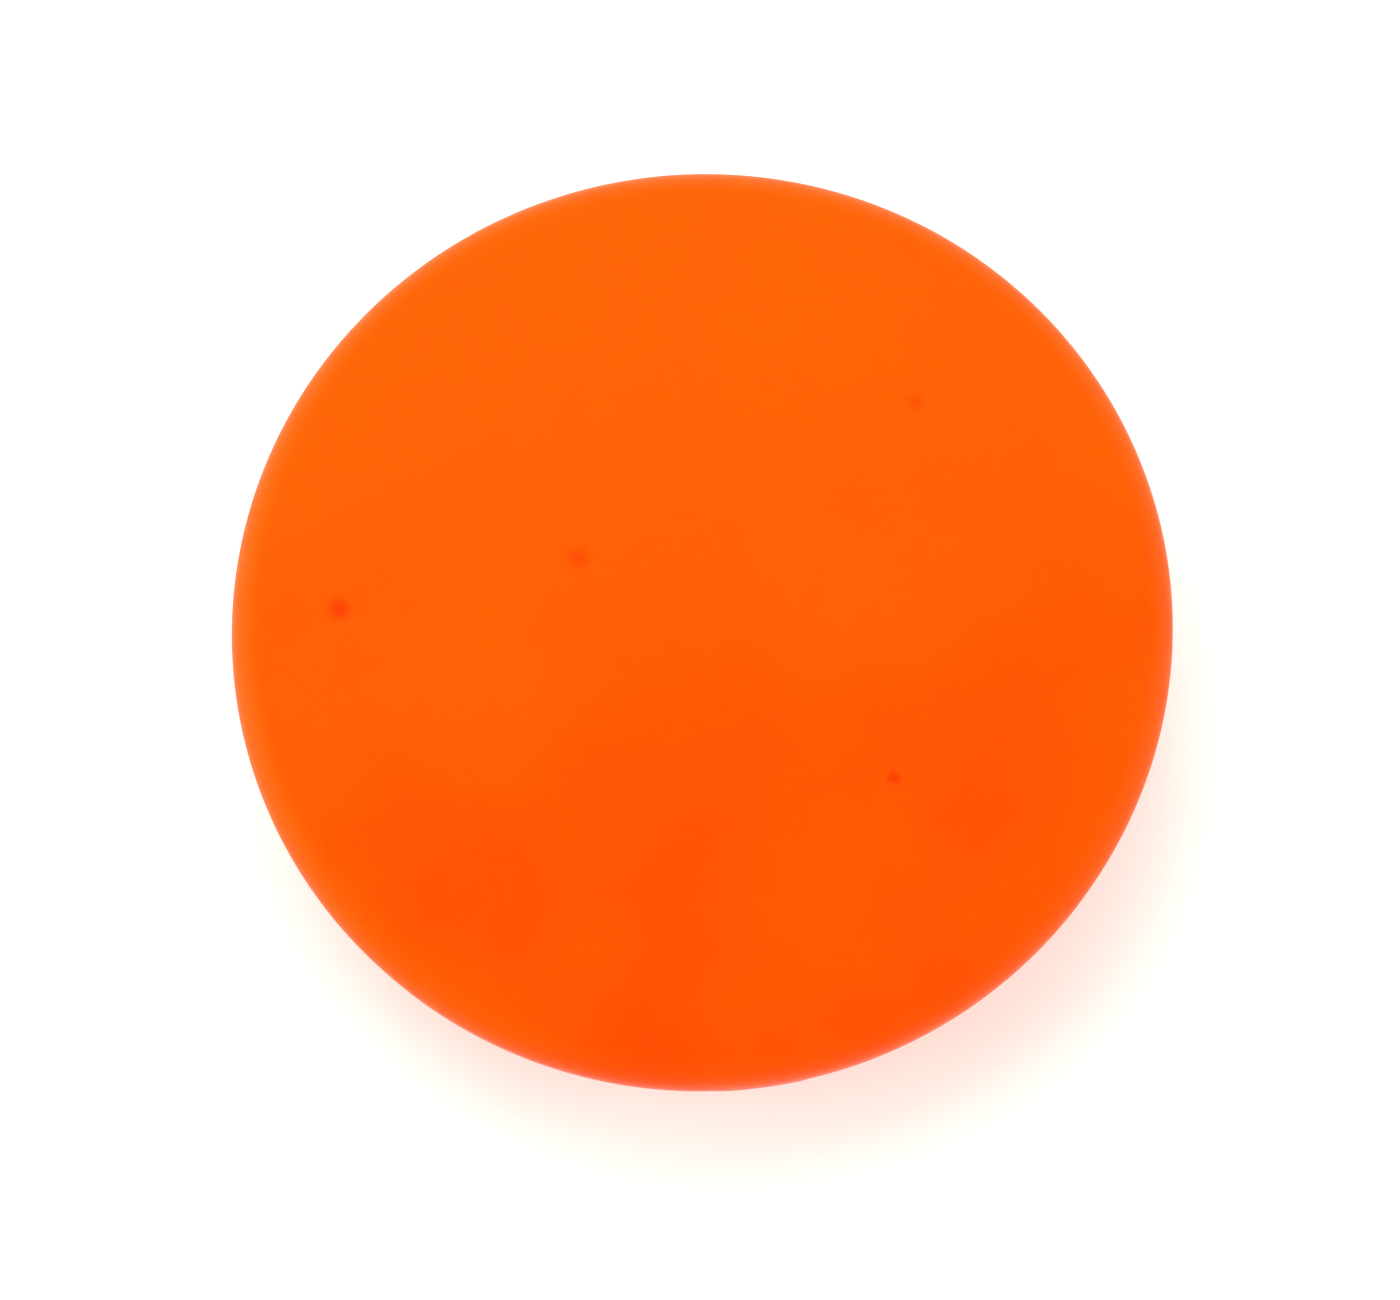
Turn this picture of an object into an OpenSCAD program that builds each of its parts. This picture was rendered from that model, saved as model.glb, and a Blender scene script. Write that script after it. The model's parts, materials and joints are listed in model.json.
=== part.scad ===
// LED road flare, disc type. Millimetres, +Z up.
// The origin is the middle of the foot ring, on the surface that the flare stands on.
// The hook folds out at +Y and the power button is at -Y.

/* [Housing] */
// Widest diameter, across the rim of the top cover
rim_d = 105; // [105:0.5:107]
// Height of the middle of the top face above the ground
total_h = 33; // [33:0.5:35]
// Radius of the rounded shoulder between the top face and the rim
shoulder_r = 4; // [3:0.25:4.5]
// Rise of the top face from its edge to its middle
crown_h = 1.5; // [1.4:0.1:1.8]
// Wall thickness of the top face
top_wall = 3; // [2.4:0.1:3.2]
// How far the rim stands out past the skirt
lip_out = 1.3; // [1:0.1:1.5]
// Height of the seam between the top cover and the base
seam_z = 12; // [12:0.1:12.4]

/* [Light] */
// Places round the skirt: one holds the button, the others are windows
place_count = 18; // [18]
// Width of a window
window_w = 11; // [8:0.5:12]
// Height of a window
window_h = 7; // [5:0.5:7.5]
// Corner radius of a window
window_r = 2.2; // [1:0.1:2.4]
// Number of upward LEDs on the board
top_led_count = 4; // [3:1:6]

/* [Button] */
// Diameter of the button cap
button_d = 7.2; // [6.6:0.1:7.2]
// Travel of the button
button_travel = 0.6; // [0.3:0.1:0.8]

/* [Batteries] */
// Diameter of one AAA cell
cell_d = 10.5; // [10.2:0.1:10.5]
// Length of one AAA cell, over its positive nub
cell_len = 44.5; // [44:0.1:44.5]
// Distance between the middles of two neighbouring cells
cell_pitch = 11.2; // [11:0.1:11.3]
// Turn of the battery door between closed and free
door_turn = 60; // [60]

/* [Underside] */
// Number of screws that close the housing
screw_count = 6; // [6]
// Number of magnets in the underside
magnet_count = 3; // [3]
// Diameter of a magnet
magnet_d = 10; // [8:0.5:10]
// Outer radius of the hook's curl
hook_r = 10; // [8:0.5:10]
// Thickness of the hook plate
hook_t = 2.6; // [2:0.1:2.6]

/* [Hidden] */
$fn = 96;

// Colours
ORANGE = [1.0, 0.36, 0.02];
CLEAR = [0.85, 0.92, 0.95];
WHITE = [0.93, 0.93, 0.9];
BLACK = [0.12, 0.12, 0.13];
RUBBER = [0.2, 0.2, 0.21];
BOARD = [0.88, 0.9, 0.88];
STEEL = [0.72, 0.73, 0.75];
NICKEL = [0.82, 0.81, 0.78];
CELL = [0.1, 0.3, 0.55];

cut = 1;                // How far a cutting shape runs past what it cuts
slip = 0.1;             // Gap of a slip fit between pieces that don't move
run = 0.3;              // Gap beside a moving piece

// Housing
rim_r = rim_d / 2;
skirt_top_r = rim_r - lip_out;
skirt_taper = 0.6;      // How much narrower the skirt is at the seam than under the rim
skirt_low_r = skirt_top_r - skirt_taper;
lip_z = 24.6;           // Underside of the rim
lip_slope_w = 0.4;      // Sloped lower edge of the rim
lip_slope_h = 0.8;
shoulder_z = total_h - crown_h - shoulder_r;
shoulder_x = rim_r - shoulder_r;
// The crown is a sphere that touches the shoulder arc without a kink
crown_r = (pow(shoulder_x, 2) - pow(shoulder_r, 2) + pow(shoulder_r + crown_h, 2)) / (2 * crown_h);
crown_touch = asin(shoulder_x / (crown_r - shoulder_r));
base_wall_r = 45.8;     // Inside of the base wall
base_top_r = skirt_low_r - 0.2;
base_low_r = 49;
base_edge_r = 1.2;      // Rounded bottom edge of the base
base_z = 0.5;           // Underside of the base, above the ground
floor_z = 3.2;          // Inside face of the base's floor

// Lens ring and gaskets
skirt_in_r = 48.8;
lens_r = skirt_in_r - slip;
lens_t = 2.6;
gasket_r = 47.4;
gasket_w = 1.5;         // Thickness of a gasket's round section
gasket_out = 0.5;       // How far a gasket stands out of its groove
lens_low_z = seam_z + gasket_out;
lens_top_z = 24.5;
seat_z = lens_top_z + gasket_out;
cavity_r = 45.4;        // Inside of the rim, above the lens seat
light_z = 18.6;         // Height of the LEDs, the windows and the button
place_turn = 360 / place_count;
first_place = -90;      // The button's place, and the windows follow round from it

// Housing screws
screw_ring_r = 41.2;
screw_post_r = 3.4;
screw_d = 2.9;
screw_head_d = 5.6;
screw_head_h = 2;
screw_seat_z = 3.4;     // Bearing face under a screw head, seen from below
screw_len = 14;
cross_span = 0.5;       // Length of a screw's cross recess, as a share of the head
cross_w = 0.14;         // Width of the recess, as a share of the head
screw_room = 0.8;       // How much wider the well is than the screw head
screw_slack = 0.5;      // How much wider the base's hole is than the screw
boss_z = 8;             // Where the cover's posts meet the base's bosses
boss_r = 4.2;

// Board
board_z = 20.4;
board_t = 1.6;
board_r = 44.4;
board_top_z = board_z + board_t;
post_gap = 0.5;         // Room round a cover post where it passes the board or the reflector

// LEDs that lie under the board's edge and point out through the windows
led_back = 39.6;        // Back of an LED, from the middle of the flare
led_d = 3;
led_body = 3.8;         // Straight part, and the dome follows it
led_flange_d = 3.5;
led_flange_t = 1;
led_leg = 0.5;
led_leg_y = 1.27;       // Half the space between an LED's two legs
led_leg_x = 38.4;       // Where the legs bend up to the board

// Upward LEDs on the board
top_led_ring = 16;
top_led_w = 5;
top_led_h = 1.4;
top_lens_h = 0.6;

// Reflector: a sloped white tray under the side LEDs, with an upright wall inside
mirror_t = 1.2;
mirror_in_r = 35.6;
mirror_out_r = 45.6;
mirror_low_z = 12.9;
mirror_rise = 0.5;      // How much higher the tray's inner part starts than its outer edge
mirror_corner = 1.4;    // Size of the slope between the tray and the wall
mirror_gap_w = 12;      // Gap in the ring for the button's switch
mirror_gap_y = 38;

// Battery door, bayonet and tray
door_low_z = 4;
door_t = 2;
door_r = 32.6;
recess_r = door_r + 0.4;
step_wall = 2;          // Wall round the door recess
flange_z = door_low_z + door_t + 0.2;
flange_t = 1.5;
flange_r = 29.9;
flange_top_z = flange_z + flange_t;
neck_r = flange_r - run;
neck_in_r = 28;
lug_r = 31.4;
lug_z = flange_top_z + 0.2;
lug_t = 1.1;
lug_angle = 28;
lug_count = 3;
lug_gap_angle = 30;
lug_gap_r = 31.7;
stop_angle = 29;        // Width of a stop block between two lugs
ring_bite = 0.5;        // How deep a lug or stop block is rooted in its ring
tray_skirt_r = 32;
tray_rim_r = 34.6;
tray_plate_z = 9.2;
tray_plate_t = 1.4;
tray_wall = 1.5;
tray_half_x = 24.5;
tray_half_y = 17.1;
tray_roof_z = 17.6;
tray_top_z = 19;
tray_ear_ring = 35.4;
tray_ear_r = 2.8;
tray_screw_d = 2;
tray_screw_angles = [45, 135, 225, 315];
board_post_x = 22;
board_post_y = 14;
board_post_r = 2.4;
tray_screw_len = 7;
board_screw_len = 4;
small_head_h = 1.4;
screw_tip_wall = 0.3;   // Wall left over the cells where a board screw ends
tray_rib_len = 32;      // Ribs between neighbouring cells
tray_rib_t = 0.5;
tray_rib_rise = 1;      // Lower edge of a rib, above the middle of the cells

// Door details
door_seal_r = 31.2;
door_seal_w = 1.3;
door_groove_w = 1.6;
door_groove_z = door_low_z + door_t - 1.1;
coin_len = 22;
coin_w = 2.8;
coin_deep = 1.2;
pointer_ring = 29;      // The door's pointer, and the base's marks for closed and free beside it
pointer_r = 2;
pointer_angle = -60;
mark_ring = 35.6;
mark_size = 2;
mark_deep = 0.5;

// Cells and contacts
cell_z = 12.05;
nub_d = 3.8;
nub_h = 0.8;
contact_x = 24.1;       // Inside face of a contact plate
contact_t = 0.4;
contact_low_z = 9.3;
contact_top_z = 15.5;
contact_w = 7.2;
tab_w = 3;
tab_x = 27.9;
spring_wire = 0.6;
spring_base_r = 2.6;
spring_tip_r = 1.8;
spring_turns = 4;
spring_steps = 14;      // Rings of points in one turn of a spring
spring_sides = 6;

// Leads: centre lines, from the contact tab up to the board
lead_d = 1.2;
lead_sides = 8;
lead_route = [
    [27.2, 11.2, 15.5], [27.2, 11.2, 16.5], [27.8, 12.2, 17.4], [28.6, 13.8, 18],
    [29.2, 15.6, 18.4], [29.5, 16.8, 19.2], [29.5, 17, 20.4]
];

// Button and switch
cap_r = button_d / 2;
guide_bore_r = cap_r + slip;
guide_r = 4.7;
bezel_r = 5.8;
bezel_t = 1;
spot_y = 50.5;          // Flat on the skirt under the bezel
guide_in_y = 47;
cap_out_y = 51.9;
cap_flange_r = 4.4;
cap_flange_t = 1;
cap_post_r = 1.5;
cap_post_y = 44.7;
cap_face_r = 12;        // Radius of the slightly domed face
seal_wire = 1;
seal_y = 49;
seal_r = 3.15;
switch_y = 43.6;
switch_w = 6.2;
switch_len = 3.6;
plunger_r = 1.5;
plunger_len = 2.3;
plunger_out = cap_post_y - switch_y;
switch_bore = plunger_len - plunger_out + button_travel + 2 * slip;

// Magnets and foot ring
magnet_ring = 40.2;
magnet_h = 4;
magnet_cup_r = magnet_d / 2 + 1.6;
magnet_roof = 1.7;
foot_in_r = 45.6;
foot_w = 2.2;
foot_h = 2;

// Hook, folded flat with its curl toward the middle
pivot_y = 43;
pivot_z = 3;
pin_d = 2.5;
pin_len = 15.6;
knuckle_r = 2.5;
knuckle_len = 11.8;
notch_w = 12.6;
notch_wall = 2;
notch_z = 6;
hook_z = 0.7;
curl_y = 20;
curl_w = 3.8;           // Width of the curl, from inside to outside
curl_mid_r = hook_r - curl_w / 2;
curl_in_r = hook_r - curl_w;
shank_w = 5.6;
shank_end_y = curl_y + curl_in_r + shank_w / 2;    // Middle of the shank's round end
shank_flare_y = 35.5;
shank_root_y = 41.2;

// Parts on the board: x, y, width, depth, height
BLOCKS = [
    [-26, 26, 6, 6, 3], [26, 26, 4.5, 3.5, 1.8], [14, 30, 2, 1.2, 0.6], [-14, 30, 2, 1.2, 0.6],
    [-10, 30, 2, 1.2, 0.6], [10, 30, 2, 1.2, 0.6], [-12, -28, 3, 1.5, 1.1], [12, -28, 3, 1.5, 1.1],
    [16, -28, 2, 1.2, 0.6], [-16, -28, 2, 1.2, 0.6], [30, -6, 3, 1.5, 1.1], [-30, -6, 3, 1.5, 1.1]
];
CAN_AT = [0, 28];       // Electrolytic capacitor
CAN_D = 6.3;
CAN_H = 5.4;
CHIP_AT = [0, -27];
CHIP_W = 8.7;
CHIP_D = 3.9;
CHIP_H = 1.5;
CHIP_LEGS = 7;          // Legs along one side
CHIP_LEG_PITCH = 1.27;
CHIP_LEG = [0.4, 1.4, 0.3];
CHIP_LIFT = 0.1;        // Gap between the board and the chip's body

function place_angle(i) = first_place + i * place_turn;
// Radius and height of the circle where the crown arc meets the shoulder arc
function touch_point() = [
    shoulder_x + shoulder_r * sin(crown_touch),
    shoulder_z + shoulder_r * cos(crown_touch)
];
// Direction from one point of a route to the next, averaged at the inner points
function heading(p, i) = i == 0 ? p[1] - p[0]
    : i == len(p) - 1 ? p[i] - p[i - 1]
    : (p[i + 1] - p[i]) / norm(p[i + 1] - p[i]) + (p[i] - p[i - 1]) / norm(p[i] - p[i - 1]);
function unit(v) = v / norm(v);
// A side direction at right angles to v, steady along a route that doesn't run along the guide
function side_of(v, guide) = unit(cross(v, guide));

// Sweeps a round section along a route
module tube(route, d, sides, guide) {
    rings = [for (i = [0 : len(route) - 1])
        let (v = unit(heading(route, i)), a = side_of(v, guide), b = cross(v, a))
        [for (k = [0 : sides - 1])
            route[i] + d / 2 * (cos(360 * k / sides) * a + sin(360 * k / sides) * b)]];
    points = [for (ring = rings) each ring];
    last = len(points) - sides;
    walls = [for (i = [0 : len(route) - 2], k = [0 : sides - 1])
        let (n = (k + 1) % sides, low = i * sides, high = low + sides)
        each [[low + k, high + k, high + n], [low + k, high + n, low + n]]];
    near = [for (k = [0 : sides - 1]) k];
    far = [for (k = [sides - 1 : -1 : 0]) last + k];
    polyhedron(points = points, faces = concat([near], walls, [far]), convexity = 6);
}

// Copies its children round the Z axis
module ring_of(angles, radius) {
    for (a = angles) rotate([0, 0, a]) translate([radius, 0, 0]) children();
}

// A flat rectangle with rounded corners, centred
module rounded_rect(w, h, r) {
    square([w - 2 * r, h], center = true);
    square([w, h - 2 * r], center = true);
    for (x = [-1, 1], y = [-1, 1]) translate([x * (w / 2 - r), y * (h / 2 - r)]) circle(r = r);
}

// A round bar from y0 to y1 along Y, at the button's height
module y_bar(r, y0, y1) {
    translate([0, y1, light_z]) rotate([90, 0, 0]) cylinder(r = r, h = y1 - y0);
}

// A screw that points up from its head: head below z = 0, shank above, cross recess underneath
module screw(d, len, head_d, head_h) {
    difference() {
        union() {
            cylinder(d = d, h = len);
            translate([0, 0, -head_h]) cylinder(d = head_d, h = head_h);
        }
        for (a = [0, 90]) rotate([0, 0, a]) translate([0, 0, -head_h - cut])
            linear_extrude(cut + head_h / 2)
                square([cross_span * head_d, cross_w * head_d], center = true);
    }
}

// Angles of the housing screws, magnets and windows
screw_angles = [for (i = [0 : screw_count - 1]) i * 360 / screw_count];
magnet_angles = [for (i = [0 : magnet_count - 1]) 30 + i * 360 / magnet_count];
window_angles = [for (i = [1 : place_count - 1]) place_angle(i)];
lug_angles = [for (i = [0 : lug_count - 1]) i * 360 / lug_count];

// A block that fills part of a ring, centred on the +X axis
module sector(r0, r1, z0, h, angle) {
    rotate([0, 0, -angle / 2]) rotate_extrude(angle = angle)
        translate([r0, z0]) square([r1 - r0, h]);
}

// Section of the cover's outer shape, from the axis out
module cover_outline() {
    touch = touch_point();
    intersection() {
        translate([0, seam_z]) square([touch.x, total_h]);
        translate([0, total_h - crown_r]) circle(r = crown_r, $fn = 256);
    }
    translate([shoulder_x, shoulder_z]) circle(r = shoulder_r);
    polygon([
        [0, seam_z], [skirt_low_r, seam_z], [skirt_top_r, lip_z], [rim_r - lip_slope_w, lip_z],
        [rim_r, lip_z + lip_slope_h], [rim_r, shoulder_z], [0, shoulder_z]
    ]);
}

module top_cover() {
    color(ORANGE) difference() {
        union() {
            rotate_extrude() difference() {
                cover_outline();
                square([cavity_r, total_h - top_wall]);
                square([skirt_in_r, seat_z]);
                translate([gasket_r - gasket_w / 2 - slip / 2, seat_z - cut])
                    square([gasket_w + slip, cut + gasket_w - gasket_out]);
            }
            ring_of(screw_angles, screw_ring_r) translate([0, 0, boss_z])
                cylinder(r = screw_post_r, h = total_h - top_wall - boss_z + slip);
        }
        ring_of(screw_angles, screw_ring_r) translate([0, 0, boss_z - cut])
            cylinder(d = screw_d + slip, h = cut + screw_len);
        for (a = window_angles) rotate([0, 0, a]) translate([lens_r - cut, 0, light_z])
            rotate([90, 0, 90]) linear_extrude(rim_r - lens_r) rounded_rect(window_w, window_h, window_r);
        y_bar(guide_r + slip / 2, -rim_r, -lens_r + cut);
        y_bar(bezel_r + slip, -rim_r, -spot_y);
    }
}

module lens_ring() {
    color(CLEAR) difference() {
        rotate_extrude() translate([lens_r - lens_t, lens_low_z])
            square([lens_t, lens_top_z - lens_low_z]);
        y_bar(guide_r + slip, -rim_r, -base_wall_r + cut);
    }
}

// A round-section ring whose lowest point is at z
module o_ring(r, w, z) {
    color(RUBBER) rotate_extrude() translate([r, z + w / 2]) circle(d = w, $fn = 32);
}

module upper_gasket() { o_ring(gasket_r, gasket_w, lens_top_z); }

module lower_gasket() { o_ring(gasket_r, gasket_w, lens_low_z - gasket_w); }

module reflector_ring() {
    color(WHITE) difference() {
        rotate_extrude() polygon([
            [mirror_in_r, board_z],
            [mirror_in_r, mirror_low_z + mirror_rise + mirror_t],
            [mirror_in_r + mirror_corner, mirror_low_z + mirror_rise],
            [mirror_out_r, mirror_low_z],
            [mirror_out_r, mirror_low_z + mirror_t],
            [mirror_in_r + 2 * mirror_corner, mirror_low_z + mirror_rise + 2 * mirror_t],
            [mirror_in_r + mirror_t, mirror_low_z + mirror_rise + 3 * mirror_t],
            [mirror_in_r + mirror_t, board_z]
        ]);
        ring_of(screw_angles, screw_ring_r) translate([0, 0, seam_z])
            cylinder(r = screw_post_r + post_gap, h = seam_z);
        translate([-mirror_gap_w / 2, -rim_r, seam_z])
            cube([mirror_gap_w, rim_r - mirror_gap_y, seam_z]);
    }
}

module light_pcb() {
    color(BOARD) translate([0, 0, board_z]) difference() {
        cylinder(r = board_r, h = board_t);
        ring_of(screw_angles, screw_ring_r) translate([0, 0, -cut])
            cylinder(r = screw_post_r + post_gap, h = board_t + 2 * cut);
        for (x = [-1, 1], y = [-1, 1]) translate([x * board_post_x, y * board_post_y, -cut])
            cylinder(d = tray_screw_d + slip, h = board_t + 2 * cut);
    }
}

// One round LED lying under the board's edge, pointing out along +X, with its two legs
module side_led() {
    translate([led_back, 0, light_z]) rotate([0, 90, 0]) {
        cylinder(d = led_flange_d, h = led_flange_t);
        cylinder(d = led_d, h = led_body);
        translate([0, 0, led_body]) intersection() {
            sphere(d = led_d);
            cylinder(d = led_d + cut, h = led_d);
        }
    }
    for (y = [-led_leg_y, led_leg_y]) translate([led_leg_x, y - led_leg / 2, light_z - led_leg / 2]) {
        cube([led_back + slip - led_leg_x, led_leg, led_leg]);
        cube([led_leg, led_leg, board_z - light_z + led_leg / 2]);
    }
}

module side_leds() {
    color(CLEAR) for (a = window_angles) rotate([0, 0, a]) side_led();
}

module top_leds() {
    angles = [for (i = [0 : top_led_count - 1]) 45 + i * 360 / top_led_count];
    color(WHITE) ring_of(angles, top_led_ring) translate([0, 0, board_top_z]) {
        translate([-top_led_w / 2, -top_led_w / 2, 0]) cube([top_led_w, top_led_w, top_led_h]);
        translate([0, 0, top_led_h])
            cylinder(d1 = 0.8 * top_led_w, d2 = 0.6 * top_led_w, h = top_lens_h);
    }
}

module controller_chip() {
    color(BLACK) translate([CHIP_AT.x, CHIP_AT.y, board_top_z]) {
        translate([-CHIP_W / 2, -CHIP_D / 2, CHIP_LIFT]) cube([CHIP_W, CHIP_D, CHIP_H]);
        for (i = [0 : CHIP_LEGS - 1], s = [-1, 1]) {
            x = (i - (CHIP_LEGS - 1) / 2) * CHIP_LEG_PITCH;
            y = s * (CHIP_D / 2 + CHIP_LEG.y / 4);
            translate([x - CHIP_LEG.x / 2, y - CHIP_LEG.y / 2, 0]) cube(CHIP_LEG);
        }
    }
}

module board_components() {
    color(BLACK) translate([0, 0, board_top_z]) {
        for (b = BLOCKS) translate([b[0] - b[2] / 2, b[1] - b[3] / 2, 0]) cube([b[2], b[3], b[4]]);
        translate([CAN_AT.x, CAN_AT.y, 0]) cylinder(d = CAN_D, h = CAN_H);
    }
}

module tact_switch() {
    color(BLACK) difference() {
        translate([-switch_w / 2, -switch_y, light_z - (board_z - light_z)])
            cube([switch_w, switch_len, 2 * (board_z - light_z)]);
        y_bar(plunger_r + slip, -switch_y - cut, -switch_y + switch_bore);
    }
}

module switch_plunger() {
    color(WHITE) y_bar(plunger_r, -cap_post_y, -cap_post_y + plunger_len);
}

module power_button() {
    color(BLACK) difference() {
        union() {
            intersection() {
                y_bar(cap_r, -cap_out_y, -guide_in_y + slip);
                translate([0, cap_face_r - cap_out_y, light_z]) sphere(r = cap_face_r);
            }
            y_bar(cap_flange_r, -guide_in_y + slip, -guide_in_y + slip + cap_flange_t);
            y_bar(cap_post_r, -guide_in_y, -cap_post_y);
        }
        difference() {
            y_bar(cap_r + cut, -seal_y - seal_wire / 2 - slip, -seal_y + seal_wire / 2 + slip);
            y_bar(seal_r - seal_wire / 2, -rim_r, 0);
        }
    }
}

module button_guide() {
    color(BLACK) difference() {
        union() {
            y_bar(guide_r, -spot_y, -guide_in_y);
            y_bar(bezel_r, -spot_y - bezel_t, -spot_y);
        }
        y_bar(guide_bore_r, -rim_r, -guide_in_y + cut);
    }
}

module button_seal() {
    color(RUBBER) translate([0, -seal_y, light_z]) rotate([90, 0, 0])
        rotate_extrude() translate([seal_r, 0]) circle(d = seal_wire, $fn = 32);
}

module battery_tray() {
    color(BLACK) difference() {
        union() {
            translate([0, 0, flange_top_z]) linear_extrude(tray_plate_z + tray_plate_t - flange_top_z) {
                circle(r = tray_rim_r);
                ring_of(tray_screw_angles, tray_ear_ring) circle(r = tray_ear_r);
            }
            translate([0, 0, tray_plate_z]) linear_extrude(tray_top_z - tray_plate_z)
                square([2 * (tray_half_x + tray_wall), 2 * (tray_half_y + tray_wall)], center = true);
            for (x = [-board_post_x, board_post_x], y = [-board_post_y, board_post_y])
                translate([x, y, tray_top_z - cut])
                    cylinder(r = board_post_r, h = board_z - tray_top_z + cut);
        }
        translate([0, 0, flange_top_z - cut])
            cylinder(r = tray_skirt_r, h = cut + tray_plate_z - flange_top_z);
        difference() {
            linear_extrude(tray_roof_z) square([2 * tray_half_x, 2 * tray_half_y], center = true);
            for (y = [-0.5, 0.5]) translate([0, y * cell_pitch, cell_z + tray_rib_rise])
                linear_extrude(cell_d) square([tray_rib_len, tray_rib_t], center = true);
        }
        // Slots for the two contact tabs
        for (s = [-1, 1]) translate([s * tray_half_x, s * cell_pitch, contact_top_z - contact_t / 2])
            cube([2 * tray_wall + cut, tab_w + 2 * slip, contact_t + 2 * slip], center = true);
        ring_of(tray_screw_angles, tray_ear_ring) cylinder(d = tray_screw_d + slip, h = tray_top_z);
        for (x = [-board_post_x, board_post_x], y = [-board_post_y, board_post_y])
            translate([x, y, tray_roof_z + screw_tip_wall])
                cylinder(d = tray_screw_d + slip, h = board_z);
    }
}

// One AAA cell lying along X, its positive nub toward dir
module aaa_cell(y, dir) {
    color(CELL) translate([dir * contact_x, y, cell_z]) rotate([0, -90 * dir, 0]) {
        translate([0, 0, nub_h]) cylinder(d = cell_d, h = cell_len - nub_h);
        cylinder(d = nub_d, h = nub_h + 0.01);
    }
}

module cell_left() { aaa_cell(cell_pitch, 1); }

module cell_middle() { aaa_cell(0, -1); }

module cell_right() { aaa_cell(-cell_pitch, 1); }

// A contact plate at the tray's +X end
module contact_plate(y0, y1) {
    translate([contact_x, y0, contact_low_z]) cube([contact_t, y1 - y0, contact_top_z - contact_low_z]);
}

module contact_plates() {
    half = contact_w / 2;
    color(NICKEL) for (s = [-1, 1]) rotate([0, 0, s > 0 ? 0 : 180]) {
        contact_plate(cell_pitch - half, cell_pitch + half);
        translate([contact_x, cell_pitch - tab_w / 2, contact_top_z - contact_t])
            cube([tab_x - contact_x, tab_w, contact_t]);
        contact_plate(-cell_pitch - half, half);
    }
}

// A conical spring from a contact plate to the flat end of a cell whose nub points along dir
module contact_spring(y, dir) {
    free = 2 * contact_x - cell_len;
    count = spring_turns * spring_steps;
    route = [for (i = [0 : count])
        let (
            part = i / count,
            turn = 360 * i / spring_steps,
            r = spring_base_r + part * (spring_tip_r - spring_base_r),
            x = contact_x - spring_wire / 2 - part * (free - spring_wire)
        )
        [-dir * x, y + r * cos(turn), cell_z + r * sin(turn)]];
    tube(route, spring_wire, spring_sides, [1, 0, 0]);
}

module contact_springs() {
    color(NICKEL) {
        contact_spring(cell_pitch, 1);
        contact_spring(0, -1);
        contact_spring(-cell_pitch, 1);
    }
}

module lead_positive() {
    color("red") tube(lead_route, lead_d, lead_sides, [1, -1, 0]);
}

module lead_negative() {
    color(BLACK) rotate([0, 0, 180]) tube(lead_route, lead_d, lead_sides, [1, -1, 0]);
}

// Section of the base's outer shape, from the axis out
module base_outline() {
    polygon([
        [0, base_z], [base_low_r - base_edge_r, base_z], [base_low_r, base_z + base_edge_r],
        [base_top_r, seam_z], [0, seam_z]
    ]);
    translate([base_low_r - base_edge_r, base_z + base_edge_r]) circle(r = base_edge_r);
}

module base_shell() {
    color(ORANGE) difference() {
        union() {
            rotate_extrude() difference() {
                base_outline();
                translate([recess_r + step_wall, floor_z])
                    square([base_wall_r - recess_r - step_wall, seam_z]);
                translate([0, flange_top_z]) square([base_wall_r, seam_z]);
                square([flange_r, seam_z]);
                square([recess_r, flange_z]);
                translate([gasket_r - gasket_w / 2 - slip / 2, lens_low_z - gasket_w])
                    square([gasket_w + slip, seam_z]);
            }
            ring_of(screw_angles, screw_ring_r) translate([0, 0, base_z])
                cylinder(r = boss_r, h = boss_z - base_z);
            ring_of(magnet_angles, magnet_ring) translate([0, 0, base_z])
                cylinder(r = magnet_cup_r, h = magnet_h + magnet_roof);
            ring_of(tray_screw_angles, tray_ear_ring) translate([0, 0, base_z])
                cylinder(r = tray_ear_r, h = flange_top_z - base_z);
            ring_of([for (a = lug_angles) a + door_turn / 2], 0)
                sector(flange_r + ring_bite, tray_skirt_r - slip, flange_z + ring_bite,
                    tray_plate_z - slip - flange_z - ring_bite, stop_angle);
            intersection() {
                translate([-notch_w / 2 - notch_wall, recess_r, base_z])
                    cube([notch_w + 2 * notch_wall, rim_r, flange_top_z - base_z]);
                rotate_extrude() base_outline();
            }
        }
        cylinder(r = recess_r, h = flange_z);
        ring_of([for (a = lug_angles) a + door_turn], 0)
            sector(flange_r - cut, lug_gap_r, flange_z - cut, flange_t + 2 * cut, lug_gap_angle);
        translate([-notch_w / 2, recess_r - cut, -cut]) cube([notch_w, rim_r, notch_z + cut]);
        translate([-notch_w, pivot_y, pivot_z]) rotate([0, 90, 0])
            cylinder(d = pin_d + slip / 2, h = 2 * notch_w);
        ring_of(magnet_angles, magnet_ring) cylinder(d = magnet_d + slip, h = base_z + magnet_h);
        ring_of(screw_angles, screw_ring_r) {
            cylinder(d = screw_head_d + screw_room, h = screw_seat_z);
            cylinder(d = screw_d + screw_slack, h = seam_z);
        }
        ring_of(tray_screw_angles, tray_ear_ring) translate([0, 0, floor_z])
            cylinder(d = tray_screw_d + slip, h = seam_z);
        rotate_extrude() translate([foot_in_r - slip / 2, 0]) square([foot_w + slip, foot_h]);
        // Beside the door's pointer: a dot for closed, and a bar where the door comes free
        ring_of([pointer_angle], mark_ring) cylinder(d = mark_size, h = base_z + mark_deep);
        ring_of([pointer_angle - door_turn], mark_ring) linear_extrude(base_z + mark_deep)
            square([mark_size, mark_size / 2], center = true);
    }
}

module housing_screws() {
    color(STEEL) ring_of(screw_angles, screw_ring_r) translate([0, 0, screw_seat_z])
        screw(screw_d, screw_len, screw_head_d, screw_head_h);
}

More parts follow.
